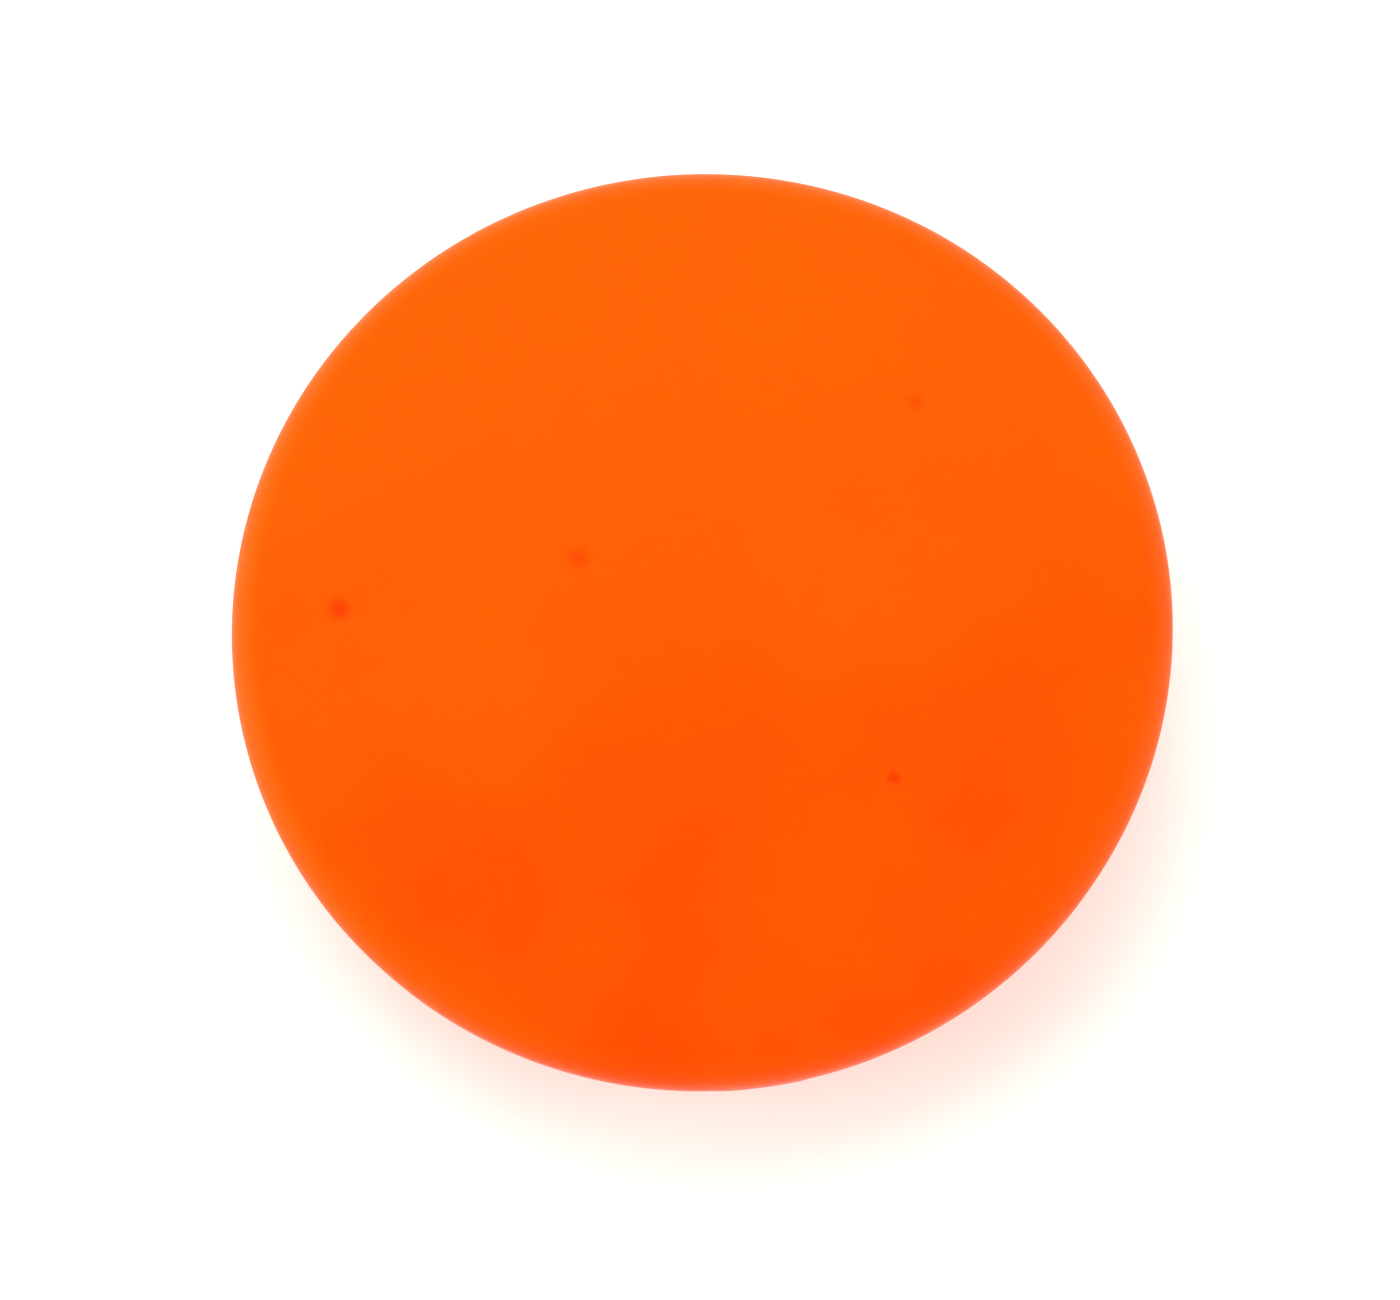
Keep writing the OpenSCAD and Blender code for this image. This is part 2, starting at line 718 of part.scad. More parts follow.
// A small screw that goes down from its head
module small_screw(z, len) {
    translate([0, 0, z]) rotate([180, 0, 0]) screw(tray_screw_d, len, 2 * tray_screw_d, small_head_h);
}

module tray_screws() {
    color(STEEL) ring_of(tray_screw_angles, tray_ear_ring)
        small_screw(tray_plate_z + tray_plate_t, tray_screw_len);
}

module pcb_screws() {
    color(STEEL) for (x = [-1, 1], y = [-1, 1]) translate([x * board_post_x, y * board_post_y, 0])
        small_screw(board_top_z, board_screw_len);
}

module battery_door() {
    color(BLACK) difference() {
        union() {
            translate([0, 0, door_low_z]) cylinder(r = door_r, h = door_t);
            rotate_extrude() translate([neck_in_r, door_low_z])
                square([neck_r - neck_in_r, lug_z + lug_t - door_low_z]);
            ring_of(lug_angles, 0) sector(neck_r - ring_bite, lug_r, lug_z, lug_t, lug_angle);
        }
        rotate_extrude() translate([door_seal_r - door_groove_w / 2, door_groove_z])
            square([door_groove_w, door_t]);
        // Coin slot and the pointer beside the rim
        translate([-coin_len / 2, -coin_w / 2, 0]) cube([coin_len, coin_w, door_low_z + coin_deep]);
        ring_of([pointer_angle], pointer_ring)
            cylinder(r = pointer_r, h = door_low_z + mark_deep, $fn = 3);
    }
}

module door_seal() { o_ring(door_seal_r, door_seal_w, door_groove_z); }

module magnets() {
    color(NICKEL) ring_of(magnet_angles, magnet_ring) translate([0, 0, base_z])
        cylinder(d = magnet_d, h = magnet_h);
}

module foot_ring() {
    color(RUBBER) difference() {
        rotate_extrude() translate([foot_in_r, 0]) square([foot_w, foot_h]);
        translate([-notch_w / 2 - cut, 0, -cut]) cube([notch_w + 2 * cut, rim_r, foot_h + 2 * cut]);
    }
}

// Flat outline of the hook: curl, rounded tip, shank and the flare at its root
module hook_outline() {
    difference() {
        translate([0, curl_y]) circle(r = hook_r);
        translate([0, curl_y]) circle(r = curl_in_r);
        translate([0, curl_y]) square([hook_r + cut, hook_r + cut]);
    }
    translate([curl_mid_r, curl_y]) circle(d = curl_w);
    translate([0, shank_end_y]) circle(d = shank_w);
    translate([-shank_w / 2, shank_end_y]) square([shank_w, pivot_y - shank_end_y]);
    polygon([
        [-shank_w / 2, shank_flare_y], [shank_w / 2, shank_flare_y], [knuckle_len / 2, shank_root_y],
        [knuckle_len / 2, pivot_y], [-knuckle_len / 2, pivot_y], [-knuckle_len / 2, shank_root_y]
    ]);
}

module hook() {
    color(STEEL) difference() {
        union() {
            translate([0, 0, hook_z]) linear_extrude(hook_t) hook_outline();
            translate([-knuckle_len / 2, pivot_y, pivot_z]) rotate([0, 90, 0])
                cylinder(r = knuckle_r, h = knuckle_len);
        }
        translate([-notch_w, pivot_y, pivot_z]) rotate([0, 90, 0])
            cylinder(d = pin_d + slip, h = 2 * notch_w);
    }
}

module hook_pin() {
    color(NICKEL) translate([-pin_len / 2, pivot_y, pivot_z]) rotate([0, 90, 0])
        cylinder(d = pin_d, h = pin_len);
}

top_cover();
lens_ring();
upper_gasket();
lower_gasket();
reflector_ring();
light_pcb();
side_leds();
top_leds();
controller_chip();
board_components();
tact_switch();
switch_plunger();
power_button();
button_guide();
button_seal();
battery_tray();
cell_left();
cell_middle();
cell_right();
contact_plates();
contact_springs();
lead_positive();
lead_negative();
base_shell();
housing_screws();
tray_screws();
pcb_screws();
battery_door();
door_seal();
magnets();
foot_ring();
hook();
hook_pin();
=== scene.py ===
"""Looks for the disc road flare: materials, rounded edges and fine detail round the CAD nodes."""
import json
import math

import bmesh
import bpy
from mathutils import Matrix, Vector

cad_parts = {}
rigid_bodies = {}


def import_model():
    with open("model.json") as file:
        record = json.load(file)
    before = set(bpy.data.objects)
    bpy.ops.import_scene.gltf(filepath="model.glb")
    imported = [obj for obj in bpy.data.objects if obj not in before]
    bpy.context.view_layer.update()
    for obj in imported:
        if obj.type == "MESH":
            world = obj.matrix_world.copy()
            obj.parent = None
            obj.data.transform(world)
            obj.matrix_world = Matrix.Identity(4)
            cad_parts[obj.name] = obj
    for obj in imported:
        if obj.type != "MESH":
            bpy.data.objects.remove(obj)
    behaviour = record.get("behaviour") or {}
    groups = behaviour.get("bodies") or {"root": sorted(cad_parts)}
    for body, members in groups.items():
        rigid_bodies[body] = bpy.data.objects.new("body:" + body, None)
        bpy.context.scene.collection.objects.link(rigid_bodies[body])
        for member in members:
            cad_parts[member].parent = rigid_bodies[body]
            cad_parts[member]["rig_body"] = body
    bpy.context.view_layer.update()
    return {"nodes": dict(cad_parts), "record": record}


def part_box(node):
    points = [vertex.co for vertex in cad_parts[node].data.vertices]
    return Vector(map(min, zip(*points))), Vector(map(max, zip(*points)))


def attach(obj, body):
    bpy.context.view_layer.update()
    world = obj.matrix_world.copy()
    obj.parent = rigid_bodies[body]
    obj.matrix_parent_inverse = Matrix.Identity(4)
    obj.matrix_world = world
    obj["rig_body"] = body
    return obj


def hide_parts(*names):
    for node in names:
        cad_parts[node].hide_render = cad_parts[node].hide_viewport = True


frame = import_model()
MM = 0.001

# ---------------------------------------------------------------- places from the frame
cover_lo, cover_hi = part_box("top_cover")
base_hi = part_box("base_shell")[1]
lens_lo, lens_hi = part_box("lens_ring")
guide_lo, guide_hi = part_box("button_guide")

RIM_R = (cover_hi.x - cover_lo.x) / 2
TOP_Z = cover_hi.z
SEAM_Z = base_hi.z
LENS_R = (lens_hi.x - lens_lo.x) / 2
LIGHT_Z = (guide_lo.z + guide_hi.z) / 2
BEZEL_R = (guide_hi.z - guide_lo.z) / 2

# Cover: radii, heights and thicknesses of its section
SHOULDER_R = 4 * MM
CROWN_H = 1.5 * MM
SHOULDER_Z = TOP_Z - CROWN_H - SHOULDER_R
SHOULDER_X = RIM_R - SHOULDER_R
LIP_Z = TOP_Z - 8.4 * MM                        # Underside of the rim
SKIRT_TOP_R = RIM_R - 1.3 * MM                  # Outside of the skirt, under the rim
SKIRT_LOW_R = RIM_R - 1.9 * MM                  # Outside of the skirt, at the seam
SKIRT_IN_R = LENS_R + 0.1 * MM
CAVITY_R = RIM_R - 7.1 * MM                     # Inside of the rim, above the lens
CEILING_Z = TOP_Z - 3 * MM                      # Inside of the top face
CEILING_SLOPE = 1 * MM                          # Sloped corner between the cavity and the ceiling
RIM_EDGE = 0.8 * MM                             # Rounding of the rim's lower edge
SEAT_Z = lens_hi.z + 0.5 * MM                   # Face that the upper gasket presses on
GROOVE = (46.6 * MM, 48.2 * MM, 1.0 * MM)       # Inner radius, outer radius and depth
EDGE = 0.3 * MM                                 # Rounding of the cover's lower edge
PANEL_LOW = SEAM_Z + EDGE

# Windows and the button's hole in the cover
PLACES = 18                                     # Places round the skirt: the button and the windows
PLACE_TURN = 2 * math.pi / PLACES
BUTTON_TURN = -math.pi / 2
WINDOW_W = 11 * MM
WINDOW_H = 7 * MM
WINDOW_R = 2.2 * MM
WINDOW_EDGE = 0.45 * MM                         # Rounding of a window's outer edge
BEZEL_T = 1 * MM
SPOT_R = BEZEL_R + 0.1 * MM                     # The flat that the bezel sits on
SPOT_X = -guide_lo.y - BEZEL_T
GUIDE_R = 4.75 * MM

# Lens ring
LENS_T = 2.6 * MM
FLUTE = 0.35 * MM                               # Depth of the flutes inside the lens
FLUTES = 8                                      # Flutes in one place
LENS_HOLE_R = GUIDE_R + 0.05 * MM

# Screw posts under the cover
POSTS = 6
POST_RING_R = 41.2 * MM
POST_R = 3.4 * MM
POST_BORE_R = 1.5 * MM
POST_BORE_TOP = 22 * MM
POST_EDGE = 0.2 * MM                            # Rounding at a post's end
POST_ROOT = 1 * MM                              # How far a post runs into the ceiling
POST_STEPS = 48

ORANGE_TINT = (1.0, 0.35, 0.03, 1)              # Tint of the orange plastic's gloss


# ---------------------------------------------------------------- material helpers
class Graph:
    """A material's node tree, with one method for each kind of node that the materials use."""

    def __init__(self, name):
        self.material = bpy.data.materials.new(name)
        self.material.use_nodes = True
        self.tree = self.material.node_tree
        self.shader = self.tree.nodes["Principled BSDF"]
        self.where = self.tree.nodes.new("ShaderNodeTexCoord").outputs["Object"]

    def link(self, source, socket):
        if isinstance(source, bpy.types.NodeSocket):
            self.tree.links.new(source, socket)
        else:
            socket.default_value = source

    def set(self, **values):
        """Sets the shader's own sockets: base_color=..., roughness=... and so on."""
        for key, value in values.items():
            name = key.replace("_", " ").title().replace("Ior", "IOR")
            self.link(value, self.shader.inputs[name])

    def noise(self, scale, detail=3.0, roughness=0.55, where=None):
        node = self.tree.nodes.new("ShaderNodeTexNoise")
        node.inputs["Scale"].default_value = scale
        node.inputs["Detail"].default_value = detail
        node.inputs["Roughness"].default_value = roughness
        self.link(where or self.where, node.inputs["Vector"])
        return node.outputs["Fac"]

    def cells(self, scale):
        node = self.tree.nodes.new("ShaderNodeTexVoronoi")
        node.inputs["Scale"].default_value = scale
        self.link(self.where, node.inputs["Vector"])
        return node.outputs["Distance"]

    def stretched(self, x, y, z):
        node = self.tree.nodes.new("ShaderNodeMapping")
        node.inputs["Scale"].default_value = (x, y, z)
        self.link(self.where, node.inputs["Vector"])
        return node.outputs["Vector"]

    def ranged(self, source, low, high, to_low, to_high, smooth=False):
        node = self.tree.nodes.new("ShaderNodeMapRange")
        node.interpolation_type = "SMOOTHSTEP" if smooth else "LINEAR"
        limits = {"From Min": low, "From Max": high, "To Min": to_low, "To Max": to_high}
        for name, value in limits.items():
            node.inputs[name].default_value = value
        self.link(source, node.inputs["Value"])
        return node.outputs["Result"]

    def mix(self, factor, first, second):
        """Mixes two colours, each a socket or a tuple of three numbers."""
        node = self.tree.nodes.new("ShaderNodeMix")
        node.data_type = "RGBA"
        self.link(factor, node.inputs["Factor"])
        for name, colour in (("A", first), ("B", second)):
            is_socket = isinstance(colour, bpy.types.NodeSocket)
            self.link(colour if is_socket else (*colour, 1), node.inputs[name])
        return node.outputs["Result"]

    def math(self, operation, first, second=0.0):
        node = self.tree.nodes.new("ShaderNodeMath")
        node.operation = operation
        self.link(first, node.inputs[0])
        self.link(second, node.inputs[1])
        return node.outputs["Value"]

    def distance_to(self, point):
        node = self.tree.nodes.new("ShaderNodeVectorMath")
        node.operation = "DISTANCE"
        self.link(self.where, node.inputs[0])
        node.inputs[1].default_value = point
        return node.outputs["Value"]

    def length(self, vector):
        node = self.tree.nodes.new("ShaderNodeVectorMath")
        node.operation = "LENGTH"
        self.link(vector, node.inputs[0])
        return node.outputs["Value"]

    def axis(self, name):
        node = self.tree.nodes.new("ShaderNodeSeparateXYZ")
        self.link(self.where, node.inputs["Vector"])
        return node.outputs[name]

    def bump(self, height, distance, strength=1.0):
        node = self.tree.nodes.new("ShaderNodeBump")
        node.inputs["Strength"].default_value = strength
        node.inputs["Distance"].default_value = distance
        self.link(height, node.inputs["Height"])
        self.link(node.outputs["Normal"], self.shader.inputs["Normal"])


# Dark specks moulded into the cover's face: x, y and radius in millimetres, and strength
FLECKS = [(-39.5, 5, 2.0, 0.9), (-12.5, 7, 2.0, 0.6), (27, 20, 1.5, 0.4), (18.5, -22, 1.1, 0.85)]
FLECK_Z = TOP_Z - 0.6 * MM                      # Mean height of the crown at the flecks


def cover_orange():
    g = Graph("cover_orange")
    patches = g.noise(38, 2.0, 0.5)
    streaks = g.noise(160, 3.0, 0.6)
    # Painted shade: the colour is darker and redder towards -Y, the button's side, standing in for light
    # that falls from the back
    painted_front_shade = g.ranged(g.axis("Y"), -RIM_R, RIM_R * 0.6, 0.0, 1.0, True)
    tone = g.mix(painted_front_shade, (0.93, 0.045, 0.0004), (0.94, 0.072, 0.0005))
    tone = g.mix(g.ranged(patches, 0.35, 0.65, 0, 0.4, True), tone, (0.94, 0.082, 0.0006))
    tone = g.mix(g.ranged(streaks, 0.3, 0.7, 0.0, 0.2), tone, (0.9, 0.057, 0.0005))
    # Painted highlight: the rounded shoulder is painted paler, as where the side lights fall on it, most
    # on the +Y, -X side
    from_axis = g.length(g.stretched(1, 1, 0))
    shoulder = g.ranged(from_axis, SHOULDER_X - 0.5 * MM, RIM_R - 1 * MM, 0.0, 1.0, True)
    lit_side = g.ranged(g.math("SUBTRACT", g.axis("Y"), g.axis("X")), -RIM_R, RIM_R, 0.1, 0.75, True)
    tone = g.mix(g.math("MULTIPLY", shoulder, lit_side), tone, (0.95, 0.09, 0.0005))
    for x, y, r, strength in FLECKS:
        near = g.distance_to((x * MM, y * MM, FLECK_Z))
        ragged = g.math("ADD", near, g.ranged(g.noise(1400, 2.0), 0.2, 0.8, -0.3 * MM, 0.3 * MM))
        tone = g.mix(g.ranged(ragged, 0.0, r * MM, strength, 0.0, True), tone, (0.72, 0.02, 0.001))
    rough = g.ranged(g.noise(220, 4.0), 0.3, 0.7, 0.44, 0.48)
    g.set(base_color=tone, roughness=rough, specular_ior_level=0.1, specular_tint=ORANGE_TINT)
    g.set(subsurface_weight=0.35, subsurface_scale=3.0 * MM, subsurface_radius=(1.0, 0.3, 0.05))
    g.bump(g.noise(2600, 3.0), 0.02 * MM, 0.35)
    return g.material


def base_orange():
    g = Graph("base_orange")
    tone = g.mix(g.ranged(g.noise(60, 3.0), 0.3, 0.7, 0, 1), (0.9, 0.058, 0.0006), (0.92, 0.072, 0.0007))
    rough = g.ranged(g.noise(300, 3.0), 0.3, 0.7, 0.42, 0.55)
    g.set(base_color=tone, roughness=rough, specular_ior_level=0.15, specular_tint=ORANGE_TINT)
    g.bump(g.cells(2600), 0.05 * MM, 0.5)
    return g.material


def clear_lens():
    g = Graph("clear_lens")
    g.set(base_color=(0.97, 0.98, 0.99, 1), transmission_weight=1.0, ior=1.58)
    g.set(roughness=g.ranged(g.noise(90, 3.0), 0.3, 0.7, 0.03, 0.08))
    return g.material


def led_resin():
    g = Graph("led_resin")
    g.set(base_color=(1.0, 0.82, 0.55, 1), transmission_weight=0.85, ior=1.52)
    g.set(roughness=g.ranged(g.noise(900, 2.0), 0.3, 0.7, 0.05, 0.12))
    return g.material


def moulded(name, low, high, roughness, grain=2200, depth=0.05 * MM):
    """Moulded plastic or rubber with a fine eroded texture."""
    def make():
        g = Graph(name)
        tone = g.mix(g.ranged(g.noise(120, 3.0), 0.3, 0.7, 0, 1), low, high)
        rough = g.ranged(g.noise(400, 3.0), 0.3, 0.7, roughness - 0.06, roughness + 0.06)
        g.set(base_color=tone, roughness=rough)
        g.bump(g.cells(grain), depth, 0.5)
        return g.material
    return make


def metal(name, low, high, roughness, along=(1, 1, 1), scratch=0.02 * MM):
    """Metal with fine directional scratches and a patchy sheen."""
    def make():
        g = Graph(name)
        tone = g.mix(g.ranged(g.noise(180, 4.0), 0.3, 0.7, 0, 1), low, high)
        lines = g.noise(900, 4.0, 0.7, g.stretched(*along))
        rough = g.ranged(lines, 0.3, 0.7, roughness - 0.08, roughness + 0.1)
        g.set(base_color=tone, metallic=1.0, roughness=rough)
        g.bump(lines, scratch, 0.4)
        return g.material
    return make


MATERIALS = {
    "orange_cover": cover_orange,
    "orange_base": base_orange,
    "clear_lens": clear_lens,
    "led_resin": led_resin,
    "led_white": moulded("led_white", (0.9, 0.78, 0.3), (0.92, 0.86, 0.5), 0.4),
    "black_rubber": moulded("black_rubber", (0.009, 0.009, 0.0095), (0.015, 0.015, 0.0155), 0.72),
    "black_button": moulded("black_button", (0.009, 0.009, 0.0095), (0.014, 0.014, 0.0145), 0.58),
    "black_plastic": moulded("black_plastic", (0.01, 0.01, 0.011), (0.016, 0.016, 0.017), 0.46),
    "black_component": moulded("black_component", (0.018, 0.018, 0.02), (0.03, 0.03, 0.03), 0.5),
    "white_reflector": moulded("white_reflector", (0.84, 0.84, 0.82), (0.88, 0.88, 0.86), 0.35),
    "white_board": moulded("white_board", (0.78, 0.79, 0.76), (0.84, 0.85, 0.82), 0.4),
    "cell_wrap": moulded("cell_wrap", (0.02, 0.09, 0.24), (0.03, 0.12, 0.3), 0.3),
    "red_lead": moulded("red_lead", (0.55, 0.015, 0.015), (0.62, 0.02, 0.02), 0.45),
    "black_lead": moulded("black_lead", (0.018, 0.018, 0.018), (0.03, 0.03, 0.03), 0.45),
    "nickel_plate": metal(
        "nickel_plate", (0.72, 0.69, 0.64), (0.78, 0.75, 0.7), 0.24, (1, 6, 1), 0.008 * MM),
    "screw_steel": metal("screw_steel", (0.44, 0.45, 0.47), (0.54, 0.54, 0.55), 0.34, (1, 1, 4)),
    "hook_steel": metal("hook_steel", (0.4, 0.4, 0.41), (0.48, 0.48, 0.48), 0.36, (1, 8, 1)),
}


def dress_nodes():
    """Gives every CAD node its slot's material."""
    made = {slot: make() for slot, make in MATERIALS.items()}
    for part in frame["record"]["subparts"]:
        node = frame["nodes"][part["node"]]
        node.data.materials.clear()
        node.data.materials.append(made[part["material_slot"]])
    return made


# Width of the rounded edge on each CAD node that shows, in millimetres
EDGES = {
    "base_shell": 0.35, "battery_door": 0.3, "button_guide": 0.2, "power_button": 0.25,
    "hook": 0.35, "hook_pin": 0.15, "magnets": 0.3, "housing_screws": 0.15, "foot_ring": 0.3,
    "battery_tray": 0.2, "light_pcb": 0.1,
}


def soften_edges(node, width):
    """Rounds a CAD node's sharp edges. The modifiers leave the node's own mesh as it is."""
    weld = node.modifiers.new("weld", "WELD")
    weld.merge_threshold = 0.002 * MM
    flat = node.modifiers.new("flat", "DECIMATE")
    flat.decimate_type = "DISSOLVE"
    flat.angle_limit = math.radians(0.5)
    bevel = node.modifiers.new("edges", "BEVEL")
    bevel.width = width * MM
    bevel.segments = 3
    bevel.limit_method = "ANGLE"
    bevel.angle_limit = math.radians(35)
    # The door has a very short edge, and a clamp would shrink every rounding to fit it
    bevel.use_clamp_overlap = node.name != "battery_door"
    bevel.loop_slide = False
    tidy = node.modifiers.new("tidy", "WELD")
    tidy.merge_threshold = 0.001 * MM
    normal = node.modifiers.new("normals", "WEIGHTED_NORMAL")
    normal.weight = 50


# ---------------------------------------------------------------- shape helpers
def on_cylinder(radius, turn, z):
    """The point at a height on a round wall. The turn is in radians from +X."""
    return Vector((radius * math.cos(turn), radius * math.sin(turn), z))


def join_loops(bm, first, second, closed=True):
    """Fills the strip between two rows of vertices with quads."""
    count = len(first)
    for i in range(count if closed else count - 1):
        n = (i + 1) % count
        corners = []
        for vert in (first[i], first[n], second[n], second[i]):
            if vert not in corners:
                corners.append(vert)
        if len(corners) > 2:
            bm.faces.new(corners)


def lathe(bm, section, steps, centre=(0, 0)):
    """Turns a section, a list of (radius, height), about an upright axis. A radius of 0 makes a point."""
    rows = []
    for radius, z in section:
        if radius == 0:
            rows.append([bm.verts.new((centre[0], centre[1], z))] * steps)
            continue
        ring = [on_cylinder(radius, 2 * math.pi * i / steps, z) for i in range(steps)]
        rows.append([bm.verts.new((v.x + centre[0], v.y + centre[1], z)) for v in ring])
    for low, high in zip(rows, rows[1:]):
        join_loops(bm, low, high)


def arc(cx, cz, radius, start, end, steps):
    """Points of an arc in a section. Angles in degrees, 0 is outward and 90 is up."""
    turns = [math.radians(start + (end - start) * i / steps) for i in range(steps + 1)]
    return [(cx + radius * math.cos(t), cz + radius * math.sin(t)) for t in turns]


def window_gap(y, z):
    """How far a point of the skirt is outside a window's outline."""
    dx = abs(y) - WINDOW_W / 2 + WINDOW_R
    dz = abs(z) - WINDOW_H / 2 + WINDOW_R
    return math.hypot(max(dx, 0), max(dz, 0)) + min(max(dx, dz), 0) - WINDOW_R


def circle_gap(radius):
    """The same for a round hole."""
    return lambda y, z: math.hypot(y, z) - radius


def outline(border, gap, offset):
    """Where rays from the hole's middle to the border cross the hole's outline plus an offset."""
    points = []
    for y, z in border:
        low, high = 0.0, 1.0
        for _ in range(30):
            middle = (low + high) / 2
            if gap(y * middle, z * middle) < offset:
                low = middle
            else:
                high = middle
        points.append((y * high, z * high))
    return points


class Wall:
    """One place of a round wall with a hole in it, built from loops of points round the hole."""

    def __init__(self, bm, turn, steps, side_steps, low, high, hole_z):
        self.bm = bm
        self.turn = turn
        self.hole_z = hole_z
        half = PLACE_TURN / 2
        across = [-half + PLACE_TURN * i / steps for i in range(steps)]
        up = [low + (high - low) * i / side_steps for i in range(side_steps)]
        self.border = [(t, low) for t in across]
        self.border += [(half, z) for z in up]
        self.border += [(-t, high) for t in across]
        self.border += [(-half, low + high - z) for z in up]

    def flat_border(self, radius):
        """The border as (y, z) measured from the hole's middle."""
        return [(radius(z) * math.sin(t), z - self.hole_z) for t, z in self.border]

    def verts(self, points, x_at):
        """Makes a vertex at each (y, z), as far out as x_at says, and turns it into place."""
        spin = Matrix.Rotation(self.turn, 3, "Z")
        made = []
        for y, z in points:
            x = x_at(y, z + self.hole_z)
            made.append(self.bm.verts.new(spin @ Vector((x, y, z + self.hole_z))))
        return made

    def on(self, radius, depth=0.0):
        """Distance from the axis plane to a round surface, at a depth below it."""
        return lambda y, z: math.sqrt(radius(z) ** 2 - y ** 2) - depth


def between(first, second, share):
    """Points part of the way from one row of points to another."""
    return [(a[0] + (b[0] - a[0]) * share, a[1] + (b[1] - a[1]) * share) for a, b in zip(first, second)]


def finish_piece(name, bm, node, material, sharp_angle=35):
    """Turns a bmesh into a smooth piece that replaces a CAD node."""
    bmesh.ops.remove_doubles(bm, verts=bm.verts, dist=0.001 * MM)
    bmesh.ops.recalc_face_normals(bm, faces=bm.faces)
    mesh = bpy.data.meshes.new(name)
    bm.to_mesh(mesh)
    bm.free()
    mesh.shade_smooth()
    mesh.set_sharp_from_angle(angle=math.radians(sharp_angle))
    mesh.materials.append(material)
    piece = bpy.data.objects.new(name, mesh)
    bpy.context.scene.collection.objects.link(piece)
    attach(piece, frame["nodes"][node]["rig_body"])
    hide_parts(node)


# ---------------------------------------------------------------- replaced pieces
def skirt_radius(z):
    """Outside of the tapered skirt at a height."""
    return SKIRT_LOW_R + (SKIRT_TOP_R - SKIRT_LOW_R) * (z - SEAM_Z) / (LIP_Z - SEAM_Z)


def window_place(bm, turn, steps, side_steps):
    """One place of the skirt with a window whose outer edge is rounded."""
    wall = Wall(bm, turn, steps, side_steps, PANEL_LOW, LIP_Z, LIGHT_Z)
    inner = lambda z: SKIRT_IN_R
    border = wall.flat_border(skirt_radius)
    brim = outline(border, window_gap, WINDOW_EDGE)
    loops = [wall.verts(border, wall.on(skirt_radius))]
    for share in (0.4, 0.75):
        loops.append(wall.verts(between(border, brim, share), wall.on(skirt_radius)))
    round_steps = 6
    for i in range(round_steps + 1):
        t = math.pi / 2 * i / round_steps
        points = outline(border, window_gap, WINDOW_EDGE * (1 - math.sin(t)))
        loops.append(wall.verts(points, wall.on(skirt_radius, WINDOW_EDGE * (1 - math.cos(t)))))
    hole = outline(border, window_gap, 0)
    inner_border = wall.flat_border(inner)
    loops.append(wall.verts(hole, wall.on(inner)))
    loops.append(wall.verts(between(hole, inner_border, 0.5), wall.on(inner)))
    loops.append(wall.verts(inner_border, wall.on(inner)))
    for first, second in zip(loops, loops[1:]):
        join_loops(bm, first, second)


def button_place(bm, turn, steps, side_steps):
    """The place of the skirt with the button's round hole and the flat that the bezel sits on."""
    wall = Wall(bm, turn, steps, side_steps, PANEL_LOW, LIP_Z, LIGHT_Z)
    inner = lambda z: SKIRT_IN_R
    flat = lambda y, z: SPOT_X
    border = wall.flat_border(skirt_radius)
    inner_border = wall.flat_border(inner)
    spot = outline(border, circle_gap(SPOT_R), 0)
    hole = outline(border, circle_gap(GUIDE_R), 0)
    loops = [
        wall.verts(border, wall.on(skirt_radius)),
        wall.verts(between(border, spot, 0.5), wall.on(skirt_radius)),
        wall.verts(spot, wall.on(skirt_radius)),
        wall.verts(spot, flat),
        wall.verts(hole, flat),
        wall.verts(hole, wall.on(inner)),
        wall.verts(between(hole, inner_border, 0.5), wall.on(inner)),
        wall.verts(inner_border, wall.on(inner)),
    ]
    for first, second in zip(loops, loops[1:]):
        join_loops(bm, first, second)


def screw_post(bm, turn):
    """A post that a housing screw goes up into, from the ceiling down to the base's boss."""
    middle = on_cylinder(POST_RING_R, turn, 0)
    root_z = CEILING_Z + POST_ROOT
    end_z = cover_lo.z
    section = [
        (0, root_z), (POST_R, root_z), (POST_R, end_z + POST_EDGE), (POST_R - POST_EDGE, end_z),
        (POST_BORE_R + POST_EDGE, end_z), (POST_BORE_R, end_z + POST_EDGE),
        (POST_BORE_R, POST_BORE_TOP), (0, POST_BORE_TOP),
    ]
    lathe(bm, section, POST_STEPS, (middle.x, middle.y))


def crown_section():
    """The top face's arc from the shoulder to the axis. Its sphere touches the shoulder arc."""
    radius = (SHOULDER_X ** 2 - SHOULDER_R ** 2 + (SHOULDER_R + CROWN_H) ** 2) / (2 * CROWN_H)
    touch = math.asin(SHOULDER_X / (radius - SHOULDER_R))
    shoulder = arc(SHOULDER_X, SHOULDER_Z, SHOULDER_R, 0, 90 - math.degrees(touch), 18)
    crown = []
    crown_steps = 20
    for i in range(1, crown_steps + 1):
        t = touch * (1 - i / crown_steps)
        crown.append((radius * math.sin(t), TOP_Z - radius + radius * math.cos(t)))
    crown[-1] = (0, TOP_Z)
    return shoulder + crown


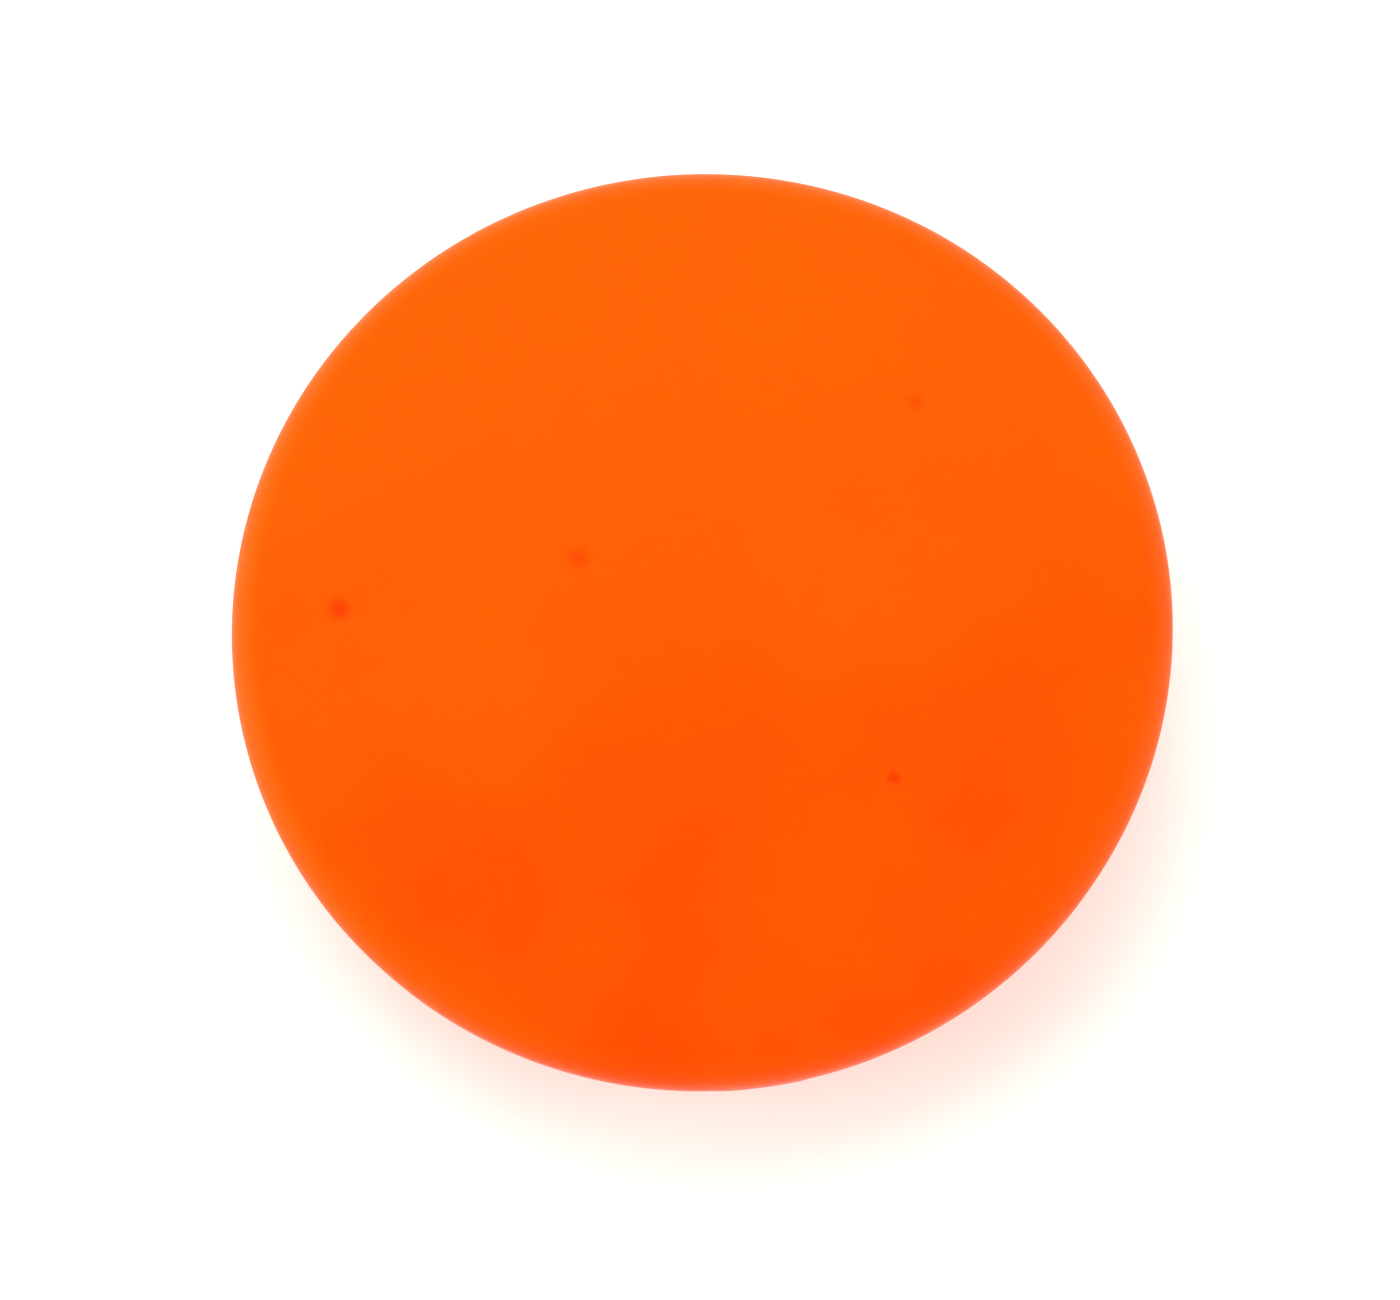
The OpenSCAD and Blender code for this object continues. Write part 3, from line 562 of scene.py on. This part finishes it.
def make_cover(material):
    """The cover, with its rounded shoulder, rim, windows, button hole and screw posts."""
    bm = bmesh.new()
    steps, side_steps = 24, 14
    turn_steps = PLACES * steps
    # The rim's underside, then a short blend into the rounding of its lower edge
    outer = [(SKIRT_TOP_R, LIP_Z), (RIM_R - RIM_EDGE / 2 - 0.1 * MM, LIP_Z)]
    outer += [(RIM_R - RIM_EDGE / 2, LIP_Z + 0.03 * MM)]
    outer += arc(RIM_R - RIM_EDGE, LIP_Z + RIM_EDGE, RIM_EDGE, -45, 0, 6)
    outer += crown_section()
    lathe(bm, outer, turn_steps)
    brim = arc(SKIRT_LOW_R - EDGE, SEAM_Z + EDGE, EDGE, -90, 0, 5)
    brim[-1] = (skirt_radius(PANEL_LOW), PANEL_LOW)
    lathe(bm, [(SKIRT_IN_R, PANEL_LOW), (SKIRT_IN_R, SEAM_Z)] + brim, turn_steps)
    groove_in, groove_out, groove_deep = GROOVE
    inner = [
        (SKIRT_IN_R, LIP_Z), (SKIRT_IN_R, SEAT_Z), (groove_out, SEAT_Z),
        (groove_out, SEAT_Z + groove_deep), (groove_in, SEAT_Z + groove_deep), (groove_in, SEAT_Z),
        (CAVITY_R, SEAT_Z),
        (CAVITY_R, CEILING_Z - CEILING_SLOPE), (CAVITY_R - CEILING_SLOPE, CEILING_Z), (0, CEILING_Z),
    ]
    lathe(bm, inner, turn_steps)
    # The places are turned by a whole number of steps, so that their borders meet the turned rows
    button_place(bm, BUTTON_TURN, steps, side_steps)
    for i in range(1, PLACES):
        window_place(bm, BUTTON_TURN + i * PLACE_TURN, steps, side_steps)
    for i in range(POSTS):
        screw_post(bm, 2 * math.pi * i / POSTS)
    finish_piece("cover_shell", bm, "top_cover", material)


def make_lens(material):
    """The clear ring behind the windows, fluted inside, with a plain place for the button."""
    bm = bmesh.new()
    flute_steps = 6
    steps = FLUTES * flute_steps
    side_steps = 10
    low, high = lens_lo.z, lens_hi.z
    turns = []
    for i in range(1, PLACES):
        # The last place has one step more, which ends the row
        start = BUTTON_TURN + (i - 0.5) * PLACE_TURN
        turns += [start + PLACE_TURN * k / steps for k in range(steps + (i == PLACES - 1))]
    rows = [[], [], [], []]
    inner_r = LENS_R - LENS_T
    for i, turn in enumerate(turns):
        groove = FLUTE * (1 - math.cos(2 * math.pi * (i % flute_steps) / flute_steps)) / 2
        corners = ((LENS_R, low), (LENS_R, high), (inner_r + groove, high), (inner_r + groove, low))
        for row, (radius, z) in zip(rows, corners):
            row.append(bm.verts.new(on_cylinder(radius, turn, z)))
    join_loops(bm, rows[1], rows[2], closed=False)
    join_loops(bm, rows[3], rows[0], closed=False)
    for first, second, radius in ((rows[0], rows[1], LENS_R), (rows[3], rows[2], inner_r)):
        join_loops(bm, first[1:-1], second[1:-1], closed=False)
        # The strips beside the plain place share its border's points
        for end, beside in ((0, 1), (-1, -2)):
            heights = [low + (high - low) * i / side_steps for i in range(1, side_steps)]
            border = [bm.verts.new(on_cylinder(radius, turns[end], z)) for z in heights]
            bm.faces.new([first[beside], first[end]] + border + [second[end], second[beside]])
    wall = Wall(bm, BUTTON_TURN, steps, side_steps, low, high, LIGHT_Z)
    outer, inner = (lambda z: LENS_R), (lambda z: inner_r)
    border, inner_border = wall.flat_border(outer), wall.flat_border(inner)
    hole = outline(border, circle_gap(LENS_HOLE_R), 0)
    loops = [
        wall.verts(border, wall.on(outer)),
        wall.verts(hole, wall.on(outer)),
        wall.verts(hole, wall.on(inner)),
        wall.verts(inner_border, wall.on(inner)),
    ]
    for first, second in zip(loops, loops[1:]):
        join_loops(bm, first, second)
    # Top and bottom of the plain place
    outer_loop, inner_loop = loops[0], loops[3]
    join_loops(bm, outer_loop[:steps + 1], inner_loop[:steps + 1], closed=False)
    top = steps + side_steps
    join_loops(bm, outer_loop[top:top + steps + 1], inner_loop[top:top + steps + 1], closed=False)
    finish_piece("fluted_lens", bm, "lens_ring", material, 60)


# ---------------------------------------------------------------- stage, lights and camera
def make_floor():
    half = 12.0                                 # Half of its side, in metres
    corners = [(-half, -half, 0), (half, -half, 0), (half, half, 0), (-half, half, 0)]
    mesh = bpy.data.meshes.new("floor")
    mesh.from_pydata(corners, [], [(0, 1, 2, 3)])
    floor = bpy.data.objects.new("floor", mesh)
    bpy.context.scene.collection.objects.link(floor)
    g = Graph("floor_white")
    g.set(base_color=(0.92, 0.9, 0.85, 1), roughness=0.9, specular_ior_level=0.0)
    floor.data.materials.append(g.material)


def area_light(name, azimuth, elevation, distance, size, power):
    """A soft square light that looks at the flare from a direction in degrees. Azimuth 0 is -Y."""
    light = bpy.data.lights.new(name, "AREA")
    light.size = size
    light.energy = power
    lamp = bpy.data.objects.new(name, light)
    a, e = math.radians(azimuth), math.radians(elevation)
    back = Vector((math.sin(a) * math.cos(e), -math.cos(a) * math.cos(e), math.sin(e)))
    lamp.location = back * distance
    lamp.rotation_euler = back.to_track_quat("Z", "Y").to_euler()
    bpy.context.scene.collection.objects.link(lamp)


def make_world():
    """A white surround, bright below 37 degrees of elevation and dim above 64."""
    world = bpy.data.worlds.new("studio")
    bpy.context.scene.world = world
    world.use_nodes = True
    tree = world.node_tree
    tree.nodes["Background"].inputs["Color"].default_value = (1, 1, 1, 1)
    where = tree.nodes.new("ShaderNodeTexCoord")
    split = tree.nodes.new("ShaderNodeSeparateXYZ")
    ramp = tree.nodes.new("ShaderNodeMapRange")
    ramp.interpolation_type = "SMOOTHSTEP"
    limits = {"From Min": 0.6, "From Max": 0.9, "To Min": 1.75, "To Max": 0.2}
    for name, value in limits.items():
        ramp.inputs[name].default_value = value
    tree.links.new(where.outputs["Generated"], split.inputs["Vector"])
    tree.links.new(split.outputs["Z"], ramp.inputs["Value"])
    tree.links.new(ramp.outputs["Result"], tree.nodes["Background"].inputs["Strength"])


def make_camera():
    """The photograph's view: high above the front, a little rolled."""
    data = bpy.data.cameras.new("camera")
    data.lens = 74
    camera = bpy.data.objects.new("camera", data)
    height = 29 * MM
    elevation = math.radians(75.67)
    distance = 320 * MM
    camera.location = (0, -distance * math.cos(elevation), height + distance * math.sin(elevation))
    aim = Vector((-0.5 * MM, -4.26 * MM, height))
    look = (aim - camera.location).to_track_quat("-Z", "Y")
    roll = Matrix.Rotation(math.radians(-7.88), 3, "Z").to_quaternion()
    camera.rotation_euler = (look @ roll).to_euler()
    bpy.context.scene.collection.objects.link(camera)
    bpy.context.scene.camera = camera


# ---------------------------------------------------------------- the scene
bpy.context.scene.view_settings.view_transform = "Standard"
made = dress_nodes()
make_cover(made["orange_cover"])
make_lens(made["clear_lens"])
for name, width in EDGES.items():
    soften_edges(frame["nodes"][name], width)
make_floor()
make_world()
make_camera()
area_light("key", -165, 72, 0.45, 0.25, 0.95)
area_light("left", -95, 28, 0.8, 0.5, 2.0)
area_light("right", 70, 30, 0.8, 0.5, 2.0)
